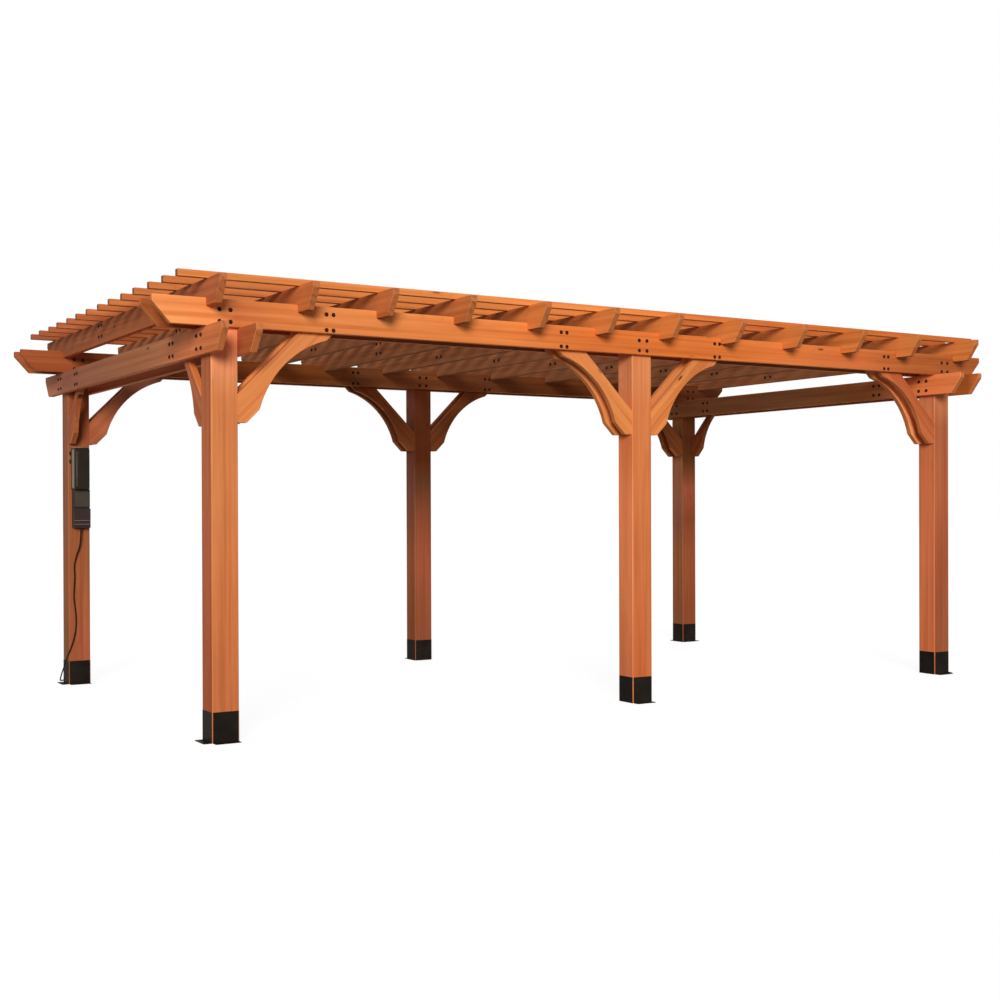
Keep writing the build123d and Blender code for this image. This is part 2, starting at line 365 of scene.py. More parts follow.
POST_WOOD = cedar("post_wood", (0.70, 0.215, 0.068), 0.5, 0.9, 1.0, (0.30, 0.10, 0.045))
BEAM_WOOD = cedar("beam_wood", (0.82, 0.245, 0.066), 1.0, 1.0, 0.7, (0.60, 0.19, 0.065))
BRACE_WOOD = cedar("brace_wood", (0.80, 0.255, 0.075), 1.3, 1.2, 0.6, (0.60, 0.20, 0.07))
RAFTER_WOOD = cedar("rafter_wood", (0.76, 0.225, 0.066), 0.8, 0.9, 0.0, (0.58, 0.19, 0.066), 0.02)
PURLIN_WOOD = cedar("purlin_wood", (0.86, 0.270, 0.070), 0.8, 0.9, 0.5, (0.12, 0.065, 0.042))


def painted(name, colour, roughness, grit, speckle, shine=0.1):
    """A plain coated surface with fine grit in its relief and a little dust in its colour."""
    material, tree = new_material(name)
    shader = tree.nodes["Principled BSDF"]
    place = put(tree, "ShaderNodeTexCoord").outputs["Object"]
    fine = put(tree, "ShaderNodeTexNoise", Vector=place, Scale=grit, Detail=3.0, Roughness=0.6).outputs[0]
    broad = put(tree, "ShaderNodeTexNoise", Vector=place, Scale=9.0, Detail=4.0, Roughness=0.6).outputs[0]
    dust = tuple(min(1.0, channel * speckle) for channel in colour) + (1,)
    body = mixed(tree, ramp(tree, broad, (0.4, 0.0), (0.75, 1.0)), (*colour, 1), dust)
    tree.links.new(body, shader.inputs["Base Color"])
    rough = math_node(tree, "MULTIPLY_ADD", broad, 0.25, roughness - 0.12)
    tree.links.new(rough, shader.inputs["Roughness"])
    shader.inputs["Specular IOR Level"].default_value = shine
    bump = put(tree, "ShaderNodeBump", Height=fine, Strength=0.3, Distance=0.0006)
    tree.links.new(bump.outputs[0], shader.inputs["Normal"])
    return material


STEEL = painted("black_coated_steel", (0.0135, 0.0105, 0.0085), 0.5, 900, 1.8, 0.02)
BOLT_STEEL = painted("bolt_steel", (0.028, 0.010, 0.005), 0.6, 1500, 1.5)
BOX = painted("box_plastic", (0.036, 0.023, 0.022), 0.5, 700, 1.3)
COVER = painted("cover_plastic", (0.015, 0.0105, 0.006), 0.42, 700, 1.4, 0.14)
# a pale plastic for the hood's top rim and for a painted highlight on its left side and door edge
PALE_TRIM_AND_HIGHLIGHT = painted("trim_and_painted_highlight", (0.24, 0.21, 0.14), 0.5, 700, 1.2)
# a pale colour for the louvre lips: a painted highlight where they catch the light
LIP_PAINTED_HIGHLIGHT = painted("lip_painted_highlight", (0.19, 0.15, 0.15), 0.5, 700, 1.2)
PANEL = painted("panel_plastic", (0.058, 0.049, 0.038), 0.5, 700, 1.2)
BRASS = painted("plated_brass", (0.55, 0.50, 0.40), 0.3, 900, 1.1, 0.5)
RUBBER = painted("lead_rubber", (0.014, 0.009, 0.0075), 0.55, 1200, 1.5, 0.05)


# boards


SHARP_ANGLE = 0.5
SIDE_FACING = 0.6
END_FACING = 0.75


def face_side(normal):
    """The name of the side that a face looks to, or None where it looks up or slantwise."""
    side = max(SIDES, key=lambda name: SIDES[name].dot(normal))
    return side if SIDES[side].dot(normal) > SIDE_FACING else None


def tint_at(stops, place):
    """The colour at a place among (place, colour) stops in rising order."""
    before = stops[0]
    for after in stops:
        if after[0] >= place:
            share = (place - before[0]) / max(after[0] - before[0], 1e-6)
            return Vector(before[1]).lerp(Vector(after[1]), min(max(share, 0.0), 1.0))
        before = after
    return Vector(before[1])


def even(*colour):
    """Stops for a tint that is the same all along."""
    return ((0.0, colour),)


def prism(outline, depth, origin, along, across, grain_axis, edge_width, painted_light_tints=None):
    """A bmesh of an outline drawn on two axes and thickened both ways, with eased edges.

    It stores where the grain runs. The tints, by the side that a face looks to, paint light and shade
    on the stain there, with some uneven stain. Each is a row of (place, colour) stops along the grain's
    axis.
    """
    painted_light_tints = painted_light_tints or {}
    normal = along.cross(across)
    bm = bmesh.new()
    eased_layer = bm.faces.layers.int.new("eased")
    flat = [origin + along * a + across * c - normal * (depth / 2) for a, c in outline]
    base = bm.faces.new([bm.verts.new(point) for point in flat])
    raised = bmesh.ops.extrude_face_region(bm, geom=[base])["geom"]
    moved = [item for item in raised if isinstance(item, bmesh.types.BMVert)]
    bmesh.ops.translate(bm, verts=moved, vec=normal * depth)
    bmesh.ops.recalc_face_normals(bm, faces=bm.faces)
    sharp = [edge for edge in bm.edges if edge.calc_face_angle(0) > SHARP_ANGLE]
    easing = {"offset": edge_width, "segments": 2, "profile": 0.5, "affect": "EDGES"}
    eased = bmesh.ops.bevel(bm, geom=sharp, **easing)["faces"]
    for face in eased:
        face[eased_layer] = 1
    for place in sorted({stop[0] for stops in painted_light_tints.values() if len(stops) > 1 for stop in stops}):
        whole = [*bm.verts, *bm.edges, *bm.faces]
        bmesh.ops.bisect_plane(bm, geom=whole, plane_co=grain_axis * place, plane_no=grain_axis)
    grain_layer = bm.loops.layers.float_vector.new("grain")
    painted_light_layer = bm.loops.layers.float_vector.new("painted_light_tint")
    wear_and_highlight_layer = bm.loops.layers.float.new("edge")
    ends_layer = bm.loops.layers.float.new("ends")
    side_axis = grain_axis.cross(normal)
    if side_axis.length < 0.5:
        side_axis = along
    third_axis = grain_axis.cross(side_axis)
    shift = Vector((rng.uniform(0, 40), rng.uniform(0, 3), rng.uniform(0, 3)))
    own = 1 + rng.uniform(-0.05, 0.05)
    for face in bm.faces:
        worn_and_highlit = face[eased_layer]
        face.smooth = worn_and_highlit == 1
        stops = painted_light_tints.get(face_side(face.normal), even(1, 1, 1))
        end_face = 1.0 if abs(face.normal.dot(grain_axis)) > END_FACING else 0.0
        for loop in face.loops:
            point = loop.vert.co
            local = point - origin
            in_grain = Vector((local.dot(grain_axis), local.dot(side_axis), local.dot(third_axis)))
            loop[grain_layer] = shift + in_grain
            loop[painted_light_layer] = tint_at(stops, point.dot(grain_axis)) * own
            loop[wear_and_highlight_layer] = worn_and_highlit
            loop[ends_layer] = end_face
    bm.faces.layers.int.remove(eased_layer)
    return bm


def add_piece(name, parts, material, *nodes, slot=None):
    """One object from several bmeshes, riding on the frame; it stands for the named nodes."""
    mesh = bpy.data.meshes.new(name)
    whole = bmesh.new()
    for part in parts:
        lump = bpy.data.meshes.new("lump")
        part.to_mesh(lump)
        part.free()
        whole.from_mesh(lump)
        bpy.data.meshes.remove(lump)
    whole.to_mesh(mesh)
    whole.free()
    mesh.materials.append(material)
    piece = bpy.data.objects.new(name, mesh)
    scene.collection.objects.link(piece)
    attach(piece, "root")
    if nodes:
        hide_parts(*nodes)
    return piece


def rounded_square(side, radius, steps=4):
    """The outline of a square with round corners."""
    centre = side / 2 - radius
    points = []
    for corner, (a, c) in enumerate(((1, 1), (-1, 1), (-1, -1), (1, -1))):
        for step in range(steps + 1):
            angle = math.pi / 2 * (corner + step / steps)
            points.append((a * centre + radius * math.cos(angle), c * centre + radius * math.sin(angle)))
    return points


def tailed(start, end, cut, notches=(), notch_depth=0.0):
    """A board's outline with a nick and a slanted cut at both ends, and notches in its underside."""
    points = [(start + cut, 0.0)]
    half = BOARD / 2 + NOTCH_PLAY
    for middle in notches:
        near, far = middle - half, middle + half
        points += [(near, 0.0), (near, notch_depth), (far, notch_depth), (far, 0.0)]
    points += [(end - cut, 0.0), (end, BOARD_HEIGHT - NICK), (end, BOARD_HEIGHT)]
    points += [(start, BOARD_HEIGHT), (start, BOARD_HEIGHT - NICK)]
    return points


# painted light and shade, with some uneven stain: how each post and board, and the faces under the roof,
# stand out from the rest
POST_PAINTED_LIGHT = {
    ("front", "left"): {
        "front": (
            (0.1, (0.88, 0.84, 0.92)), (0.8, (1.0, 1.0, 1.08)), (1.3, (1.06, 1.16, 1.23)),
            (1.76, (1.10, 1.18, 1.26)), (1.85, (1.20, 1.40, 1.75)), (1.94, (1.45, 1.65, 2.4)),
        ),
        "left": ((0.2, (0.66, 0.49, 0.46)), (0.8, (0.80, 0.67, 0.74)), (1.2, (0.86, 0.80, 0.92))),
    },
    ("front", "middle"): {
        "front": (
            (0.2, (0.86, 0.72, 0.70)), (0.8, (0.96, 0.88, 0.92)),
            (1.8, (1.03, 1.02, 1.03)), (2.0, (1.08, 1.21, 1.46)),
        ),
        "left": (
            (0.2, (1.15, 1.08, 1.35)), (0.8, (1.42, 1.42, 1.70)), (1.2, (1.50, 1.42, 1.80)),
            (1.5, (1.30, 1.20, 1.30)), (1.8, (1.24, 1.20, 1.40)), (1.92, (1.22, 1.42, 1.88)),
        ),
    },
    ("front", "right"): {
        "front": (
            (0.2, (0.47, 0.43, 0.54)), (0.8, (0.60, 0.50, 0.62)), (1.3, (0.68, 0.62, 0.80)),
            (1.76, (0.69, 0.66, 0.88)), (1.95, (0.95, 1.08, 1.42)),
        ),
        "left": (
            (0.2, (1.20, 1.02, 1.22)), (0.8, (1.36, 1.20, 1.64)),
            (1.5, (1.20, 1.08, 1.25)), (1.95, (1.30, 1.50, 2.2)),
        ),
    },
    ("rear", "left"): {
        "front": (
            (0.3, (0.62, 0.55, 0.72)), (0.8, (0.54, 0.52, 0.58)),
            (1.5, (0.54, 0.52, 0.58)), (1.75, (0.46, 0.39, 0.42)),
        ),
        "left": ((0.3, (0.33, 0.41, 0.33)), (0.8, (0.47, 0.44, 0.52)), (1.3, (0.44, 0.46, 0.64))),
    },
    ("rear", "middle"): {
        "front": (
            (0.3, (0.45, 0.42, 0.55)), (0.9, (0.56, 0.46, 0.60)), (1.15, (0.49, 0.43, 0.56)),
            (1.4, (0.28, 0.30, 0.29)), (1.58, (0.27, 0.19, 0.15)), (1.85, (0.40, 0.34, 0.29)),
            (2.05, (0.56, 0.46, 0.52)),
        ),
        "left": (
            (0.3, (0.38, 0.34, 0.31)), (0.8, (0.52, 0.52, 0.62)), (1.35, (0.44, 0.43, 0.78)),
            (1.58, (0.37, 0.32, 0.43)), (1.8, (0.30, 0.34, 0.40)), (2.05, (0.65, 0.54, 0.80)),
        ),
    },
    ("rear", "right"): {
        "front": (
            (0.3, (0.42, 0.34, 0.37)), (0.8, (0.48, 0.41, 0.50)), (1.1, (0.45, 0.36, 0.38)),
            (1.35, (0.76, 0.62, 0.88)), (1.6, (0.28, 0.31, 0.21)), (1.8, (0.33, 0.30, 0.27)),
            (1.95, (0.55, 0.55, 0.45)),
        ),
        "left": (
            (0.3, (0.44, 0.45, 0.50)), (0.8, (0.53, 0.60, 0.64)), (1.05, (0.50, 0.57, 0.95)),
            (1.45, (0.76, 0.93, 1.3)), (1.6, (0.93, 1.15, 1.5)), (1.72, (0.34, 0.38, 0.56)),
            (1.8, (0.26, 0.30, 0.48)), (1.95, (0.75, 0.94, 0.75)),
        ),
    },
}
# SHADED is painted shade for faces that lie under the roof and in the rear row
SHADED = {"front": even(0.45, 0.40, 0.38), "left": even(0.5, 0.45, 0.42)}
# painted light and shade along the beams: lighter where lit, darker under the roof and in the rear row
FRONT_BEAM_PAINTED_LIGHT = (
    (-3.0, (1.20, 1.42, 1.72)), (-2.7, (1.12, 1.26, 1.45)), (-2.62, (0.76, 0.74, 0.86)),
    (-2.4, (0.90, 0.93, 0.96)), (-1.8, (1.10, 1.20, 1.24)), (-1.0, (1.03, 1.03, 0.98)),
    (-0.4, (0.91, 0.77, 0.60)), (0.5, (0.95, 0.84, 0.62)), (1.2, (0.95, 0.86, 0.82)),
    (1.8, (0.84, 0.73, 0.76)), (2.4, (0.54, 0.50, 0.48)), (3.0, (0.50, 0.45, 0.43)),
)
REAR_BEAM_PAINTED_SHADE = (
    (-2.7, (0.46, 0.39, 0.42)), (-1.5, (0.46, 0.42, 0.36)), (-1.2, (0.58, 0.57, 0.42)),
    (-0.5, (0.40, 0.45, 0.56)), (-0.15, (0.56, 0.60, 0.70)), (0.5, (0.41, 0.44, 0.55)),
    (1.2, (0.36, 0.34, 0.30)), (3.0, (0.33, 0.31, 0.33)),
)
LEFT_END_BEAM_PAINTED_LIGHT = (
    (-1.70, (0.92, 0.94, 1.15)), (-1.2, (1.12, 1.12, 1.5)), (-0.75, (0.66, 0.82, 1.25)),
    (-0.3, (0.50, 0.58, 0.82)), (0.5, (0.40, 0.47, 0.83)), (1.3, (0.42, 0.46, 0.93)),
    (1.75, (0.72, 0.86, 1.5)),
)
RIGHT_END_BEAM_PAINTED_LIGHT = (
    (-1.75, (1.45, 1.44, 1.78)), (-1.42, (1.40, 1.34, 1.65)), (-1.2, (0.98, 1.05, 1.12)),
    (-0.8, (1.0, 1.3, 1.5)), (0.0, (0.74, 1.05, 1.6)), (1.8, (0.66, 0.88, 1.2)),
)
# painted shadow between the right end beam's boards at its front tail
RIGHT_END_TAIL_PAINTED_SHADOW = ((-1.75, (1.02, 0.88, 0.78)), (-1.70, (0.80, 0.72, 0.75)), (-1.66, (0.56, 0.52, 0.36)))
# the painted light and shade of a pair of boards, the one nearer the front or the left first
LONG_BEAM_PAINTED_LIGHT = {
    "front": ({"front": FRONT_BEAM_PAINTED_LIGHT}, {"front": SHADED["front"]}),
    "rear": ({"front": REAR_BEAM_PAINTED_SHADE, "left": SHADED["left"]},) * 2,
}
END_BEAM_PAINTED_LIGHT = {
    "left": ({"left": LEFT_END_BEAM_PAINTED_LIGHT}, {"left": even(0.62, 0.60, 0.78)}),
    "right": ({"left": RIGHT_END_BEAM_PAINTED_LIGHT}, {"left": RIGHT_END_TAIL_PAINTED_SHADOW}),
}
# painted shade along the first rafter's left side
FIRST_RAFTER_PAINTED_SHADE = (
    (-1.7, (0.76, 0.80, 1.1)), (-0.5, (0.64, 0.68, 0.92)),
    (0.4, (0.60, 0.62, 0.95)), (1.2, (0.50, 0.56, 0.82)),
)
# painted light on the front purlins, lighter to the left and darker to the right
FRONT_PURLIN_PAINTED_LIGHT = (
    (-2.9, (0.98, 1.10, 1.18)), (-1.5, (0.98, 1.06, 1.10)), (-0.3, (1.04, 1.06, 1.04)),
    (1.0, (0.82, 0.72, 0.64)), (2.2, (0.74, 0.64, 0.54)), (2.9, (0.70, 0.62, 0.52)),
)
SECOND_PURLIN_PAINTED_LIGHT = (
    (-2.9, (0.78, 0.80, 0.95)), (-2.2, (0.80, 0.80, 0.95)), (-1.5, (0.90, 0.98, 0.98)),
    (-0.3, (0.95, 0.97, 0.93)), (1.0, (0.76, 0.66, 0.60)), (2.9, (0.65, 0.57, 0.49)),
)
REAR_PURLIN_PAINTED_SHADE = (0.42, 0.36, 0.42)
# painted light and shade on the braces: inner boards and undersides lightened where the gaps lie in shade
OUTER_BRACE_PAINTED_LIGHT = {
    "left": even(1.04, 1.12, 1.2),
    "middle": even(0.97, 1.0, 0.98),
    "right": even(0.72, 0.57, 0.66),
}
INNER_BRACE_PAINTED_LIGHT = {
    "left": even(1.0, 1.1, 1.15),
    "middle": even(1.0, 1.1, 1.15),
    "right": even(1.25, 1.5, 1.9),
}
BRACE_UNDERSIDE_PAINTED_LIGHT = {
    "left": even(1.2, 1.4, 1.35),
    "middle": even(1.2, 1.4, 1.35),
    "right": even(1.2, 1.12, 1.2),
}
# painted light and shade along the rear left brace
REAR_LEFT_BRACE_PAINTED_LIGHT = {
    "front": (
        (-0.60, (0.49, 0.42, 0.54)), (-0.42, (0.72, 0.68, 1.0)), (-0.33, (0.90, 0.95, 1.5)),
        (-0.21, (0.50, 0.56, 1.0)), (0.0, (0.45, 0.48, 1.1)),
    ),
    "left": SHADED["left"],
}
# painted shade on the end braces
END_BRACE_PAINTED_SHADE = {
    "front": {"left": even(0.65, 0.60, 0.78)},
    "rear": {"left": even(0.46, 0.38, 0.50), "front": even(0.52, 0.46, 0.52)},
}


# the posts look 3 mm fuller on every side than their solids, so that the foot plates lie almost flush
# in them, and stop just short of their tops
POST_FULLNESS = 0.003
POST_TOP_GAP = 0.001


def add_posts():
    """Square posts with rounded corners."""
    outline = rounded_square(POST + 2 * POST_FULLNESS, POST_RADIUS)
    height = LONG_BEAM_TOP - POST_TOP_GAP
    for row, y in ROWS.items():
        for column, x in COLUMNS.items():
            origin = Vector((x, y, height / 2))
            axes = (SIDES["right"], SIDES["rear"], UP)
            part = prism(outline, height, origin, *axes, POST_EASING, POST_PAINTED_LIGHT[row, column])
            wear_and_highlight_layer = part.loops.layers.float["edge"]
            # the rounded corners take the pale edge colour too: partly wear, partly a painted highlight
            for face in part.faces:
                straightness = max(abs(face.normal.x), abs(face.normal.y), abs(face.normal.z))
                if straightness < 0.99:
                    face.smooth = True
                    for loop in face.loops:
                        loop[wear_and_highlight_layer] = 1.0
            name = f"post_{row}_{column}"
            add_piece(f"{name}_timber", [part], POST_WOOD, name, slot="post_cedar")


def add_doubled_beam(name, outline, place, along, apart, board_painted_light):
    """Two like boards, one on each side of the posts."""
    parts = []
    for offset, painted_light_tints in zip((-BEAM_OFFSET, BEAM_OFFSET), board_painted_light):
        parts.append(prism(outline, BOARD, place + apart * offset, along, UP, along, BOARD_EASING, painted_light_tints))
    add_piece(f"{name}_boards", parts, BEAM_WOOD, name, slot="beam_cedar")


def add_beams():
    """The long beams on the rows of posts, and the end beams that carry them."""
    right, rear = SIDES["right"], SIDES["rear"]
    outline = tailed(-BAY - LONG_BEAM_ENDS[0], BAY + LONG_BEAM_ENDS[1], LONG_BEAM_CUT)
    for row, y in ROWS.items():
        place = Vector((0, y, LONG_BEAM_BOTTOM))
        add_doubled_beam(f"long_beam_{row}", outline, place, right, rear, LONG_BEAM_PAINTED_LIGHT[row])
    outline = tailed(-HALF_DEPTH - END_BEAM_ENDS[0], HALF_DEPTH + END_BEAM_ENDS[1], END_BEAM_CUT)
    for column, painted_light_tints in END_BEAM_PAINTED_LIGHT.items():
        place = Vector((COLUMNS[column], 0, END_BEAM_BOTTOM))
        add_doubled_beam(f"end_beam_{column}", outline, place, rear, right, painted_light_tints)


def rafter_painted_light(number):
    """Reddish, with painted shade, all along the first rafter; painted light on the tails of the others,
    and painted shade on their sides and undersides.
    """
    if number == 1:
        return {"left": FIRST_RAFTER_PAINTED_SHADE}
    tail = (0.84, 0.90, 0.96) if number < 5 else (1.15, 1.28, 1.15)
    return {
        "left": (
            (-1.55, tail), (-1.15, (0.60, 0.60, 0.72)), (-0.74, (0.52, 0.54, 0.74)),
            (-0.55, (0.75, 1.02, 1.5)), (1.7, (0.75, 1.02, 1.5)),
        ),
        "under": even(0.70, 0.86, 1.2),
    }


def add_rafters():
    """Rafters notched over all four long boards."""
    notches = [y + offset for y in ROWS.values() for offset in (-BEAM_OFFSET, BEAM_OFFSET)]
    ends = (-HALF_DEPTH - RAFTER_ENDS[0], HALF_DEPTH + RAFTER_ENDS[1])
    outline = tailed(*ends, RAFTER_CUT, notches, NOTCH)
    rear = SIDES["rear"]
    for number, place in enumerate(RAFTER_PLACES, start=1):
        origin = Vector((place - BAY, 0, RAFTER_BOTTOM))
        part = prism(outline, BOARD, origin, rear, UP, rear, BOARD_EASING, rafter_painted_light(number))
        name = f"rafter_{number:02d}"
        add_piece(f"{name}_board", [part], RAFTER_WOOD, name, slot="rafter_cedar")


def purlin_painted_light(index):
    """Painted light in the front rows; in the rows behind, reddish at the left end and painted shade
    under the roof.
    """
    share = index / (PURLIN_COUNT - 1)
    if index < 4:
        return {"front": SECOND_PURLIN_PAINTED_LIGHT if index else FRONT_PURLIN_PAINTED_LIGHT, "under": even(0.7, 0.75, 0.9)}
    tip = Vector((0.98, 0.98, 1.02)).lerp(Vector((0.50, 0.44, 0.66)), share)
    stops = ((-2.84, tip), (-2.72, REAR_PURLIN_PAINTED_SHADE), (2.9, REAR_PURLIN_PAINTED_SHADE))
    return {"front": stops, "under": even(0.6, 0.62, 0.8)}


def add_purlins():
    """Evenly spaced battens on top of the rafters, with slightly uneven ends."""
    along = SIDES["right"]
    pitch = 2 * (HALF_DEPTH + PURLIN_FIRST) / (PURLIN_COUNT - 1)
    for half, first in (("front", 0), ("rear", PURLIN_COUNT // 2)):
        parts = []
        for index in range(first, first + PURLIN_COUNT // 2):
            y = -HALF_DEPTH - PURLIN_FIRST + index * pitch
            left = -BAY - PURLIN_ENDS[0] + rng.uniform(0, PURLIN_UNEVENNESS)
            right = BAY + PURLIN_ENDS[1] - rng.uniform(0, PURLIN_UNEVENNESS)
            low, high = -PURLIN_LAP, PURLIN_HEIGHT
            outline = [(left, low), (right, low), (right, high), (left, high)]
            origin = Vector((0, y, RAFTER_TOP))
            painted_light_tints = purlin_painted_light(index)
            parts.append(prism(outline, PURLIN_WIDTH, origin, along, UP, along, PURLIN_EASING, painted_light_tints))
        add_piece(f"purlins_{half}_battens", parts, PURLIN_WOOD, f"purlins_{half}", slot="purlin_cedar")


def brace_outline(limit, throat_width):
    """A knee brace's curved outline, out from the post's face and up from its foot to a limit."""

    def mirrored(point):
        return (BRACE_REACH - point[1], BRACE_REACH - point[0])

    nose = Vector((BRACE_FOOT + BRACE_NOSE, BRACE_NOSE))
    far_nose = Vector(mirrored(nose))
    throat_out = (BRACE_REACH - BRACE_BACK) / 2 + throat_width / math.sqrt(2)
    throat = Vector((throat_out, BRACE_REACH - throat_out))
    chord = (far_nose - nose).length
    middle = (nose + far_nose) / 2
    rise = (throat - middle).length
    radius = chord * chord / 8 / rise + rise / 2
    centre = throat - (throat - middle).normalized() * radius
    start = math.atan2(*(nose - centre).yx)
    finish = math.atan2(*(far_nose - centre).yx)
    if finish - start > math.pi:
        finish -= 2 * math.pi
    if start - finish > math.pi:
        finish += 2 * math.pi
    steps = 24
    arc = []
    for step in range(steps + 1):
        angle = start + (finish - start) * step / steps
        arc.append((centre.x + radius * math.cos(angle), centre.y + radius * math.sin(angle)))
    points = [(0, BRACE_BACK), (0, 0), (BRACE_FOOT, 0), *arc, mirrored((BRACE_FOOT, 0))]
    if limit >= BRACE_REACH:
        return points + [(BRACE_REACH, BRACE_REACH), mirrored((0, BRACE_BACK))]
    clipped = [point for point in points if point[1] < limit]
    low, high = clipped[-1], points[len(clipped)]
    share = (limit - low[1]) / (high[1] - low[1])
    clipped.append((low[0] + (high[0] - low[0]) * share, limit))
    clipped.append((limit - BRACE_BACK, limit))
    return clipped


def brace_board(foot, out, rise, throat_width, painted_light_tints):
    """One board of a knee brace, out from a post's face; the foot is given at the post's centre."""
    outline = brace_outline(rise, throat_width)
    corner = foot + out * (POST / 2)
    return prism(outline, BOARD, corner, out, UP, (out + UP).normalized(), BOARD_EASING, painted_light_tints)


def long_brace_painted_light(row, column, inner):
    """The painted light and shade on one board of a long brace, outer or inner."""
    if row == "rear":
        return REAR_LEFT_BRACE_PAINTED_LIGHT if column == "left" else SHADED
    fronts = INNER_BRACE_PAINTED_LIGHT if inner else OUTER_BRACE_PAINTED_LIGHT
    return {"front": fronts[column], "under": BRACE_UNDERSIDE_PAINTED_LIGHT[column]}


def add_braces():
    """Pairs of curved boards under the long beams, and single ones under the end beams."""
    flush = (POST - BOARD) / 2
    long_sides = {"left": ("right",), "middle": ("left", "right"), "right": ("left",)}
    rise = LONG_BEAM_BOTTOM + BRACE_LAP - BRACE_BOTTOM
    for row, y in ROWS.items():
        for column, sides in long_sides.items():
            parts = []
            for side in sides:
                for offset in (-flush, flush):
                    painted_light_tints = long_brace_painted_light(row, column, offset > 0)
                    foot = Vector((COLUMNS[column], y + offset, BRACE_BOTTOM))
                    parts.append(brace_board(foot, SIDES[side], rise, BRACE_THROAT, painted_light_tints))
            name = f"long_brace_{row}_{column}"
            add_piece(f"{name}_boards", parts, BRACE_WOOD, name, slot="brace_cedar")
    for column, outer in (("left", -1), ("right", 1)):
        parts = []
        for row, side in (("front", "rear"), ("rear", "front")):
            bottom = END_BRACE_BOTTOMS[row]
            foot = Vector((COLUMNS[column] + outer * flush, ROWS[row], bottom))
            rise = END_BEAM_BOTTOM + END_BRACE_LAP - bottom
            painted_light_tints = END_BRACE_PAINTED_SHADE[row] if column == "left" else SHADED
            parts.append(brace_board(foot, SIDES[side], rise, END_BRACE_THROAT, painted_light_tints))
        name = f"end_braces_{column}"
        add_piece(f"{name}_boards", parts, BRACE_WOOD, name, slot="brace_cedar")


add_posts()
add_beams()
add_rafters()
add_purlins()
add_braces()


# post feet keep their solids, and carry wider facings with eased edges

PLATE_HEIGHT = 0.158
PLATE_THICKNESS = 0.004
PLATE_HALF = 0.056
FACING_HALF = 0.068
FACING_THICKNESS = 0.0006
FACING_INSET = 0.0005
FACING_EASING = 0.0012
FLANGE_REACH = 0.046
FLANGED = {
    ("front", "left"): ("left", "front"),
    ("front", "middle"): ("front",),
    ("front", "right"): ("front", "right"),
    ("rear", "left"): ("left", "front"),
    ("rear", "middle"): ("rear",),
    ("rear", "right"): ("rear", "right"),
}


def add_feet():
    """The facings of the upright plates, and the strips that widen the turned-out feet to match."""
    for (row, column), flanged in FLANGED.items():
        name = f"base_{row}_{column}"
        for material_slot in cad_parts[name].material_slots:
            material_slot.material = STEEL
        centre = Vector((COLUMNS[column], ROWS[row], 0))
        near, far, top = FACING_INSET, PLATE_THICKNESS + FACING_THICKNESS, PLATE_HEIGHT + FACING_THICKNESS
        upright = [(near, 0.0), (far, 0.0), (far, top), (near, top)]
        near, far, top = PLATE_THICKNESS, FLANGE_REACH, PLATE_THICKNESS
        flat = [(near, 0.0), (far, 0.0), (far, top), (near, top)]
        parts = []
        for side in ("right", "rear", "left", "front"):
            out = SIDES[side]
            face = centre + out * (POST / 2)
            parts.append(prism(upright, 2 * FACING_HALF, face, out, UP, UP, FACING_EASING))
            if side not in flanged:
                continue
            run = out.cross(UP)
            for way in (-1, 1):
                strip = face + run * (way * (PLATE_HALF + FACING_HALF) / 2)
                parts.append(prism(flat, FACING_HALF - PLATE_HALF, strip, out, UP, UP, FACING_EASING / 2))
        add_piece(f"{name}_facings", parts, STEEL, slot="black_steel")


add_feet()


# bolts


def turned(profile, centre, axis, steps=14):
    """A bmesh turned about an axis from (radius, height) points."""
    bm = bmesh.new()
    spread = axis.orthogonal().normalized()
    other = axis.cross(spread)
    rings = []
    for radius, height in profile:
        if radius < 1e-6:
            rings.append([bm.verts.new(centre + axis * height)])
            continue
        ring = []
        for step in range(steps):
            angle = 2 * math.pi * step / steps
            spoke = spread * math.cos(angle) + other * math.sin(angle)
            ring.append(bm.verts.new(centre + axis * height + spoke * radius))
        rings.append(ring)
    for lower, upper in zip(rings, rings[1:]):
        for step in range(steps):
            follow = (step + 1) % steps
            if len(upper) == 1:
                bm.faces.new((lower[step], lower[follow], upper[0]))
            elif len(lower) == 1:
                bm.faces.new((lower[0], upper[follow], upper[step]))
            else:
                bm.faces.new((lower[step], lower[follow], upper[follow], upper[step]))
    for face in bm.faces:
        face.smooth = True
    bmesh.ops.recalc_face_normals(bm, faces=bm.faces)
    return bm


BOLT_PROFILE = [
    (0.0115, -0.001), (0.0115, 0.0016), (0.0108, 0.0022), (0.0086, 0.0022),
    (0.0084, 0.0040), (0.0070, 0.0062), (0.0042, 0.0076), (0.0, 0.0080),
]


# groups of bolts: their places along a board, half the pitch of a pair, and their heights
LONG_BEAM_BOLTS = (
    ((-2.675, -0.016, 2.658), 0.029, (2.150, 2.211)),
    ((-2.093, -0.596, 0.568, 2.074), 0.020, (2.142, 2.225)),
)
END_BEAM_BOLTS = (
    ((-1.412, 1.412), 0.034, (2.018, 2.085)),
    ((-0.972, 0.986), 0.028, (2.018, 2.086)),
)
RAFTER_BOLTS = (((0.398,), 0.032, (2.270, 2.338)),)


def add_bolt_heads(name, groups, place, half_width, run, face_axis):
    """Bolt heads on the two outer faces of a board or a pair of boards."""
    parts = []
    for centres, half_pitch, heights in groups:
        for along in [centre + step for centre in centres for step in (-half_pitch, half_pitch)]:
            for height in heights:
                for way in (-1, 1):
                    head = run * along + face_axis * (place + way * half_width) + UP * height
                    parts.append(turned(BOLT_PROFILE, head, face_axis * way))
    add_piece(f"{name}_bolts", parts, BOLT_STEEL, slot="black_steel")


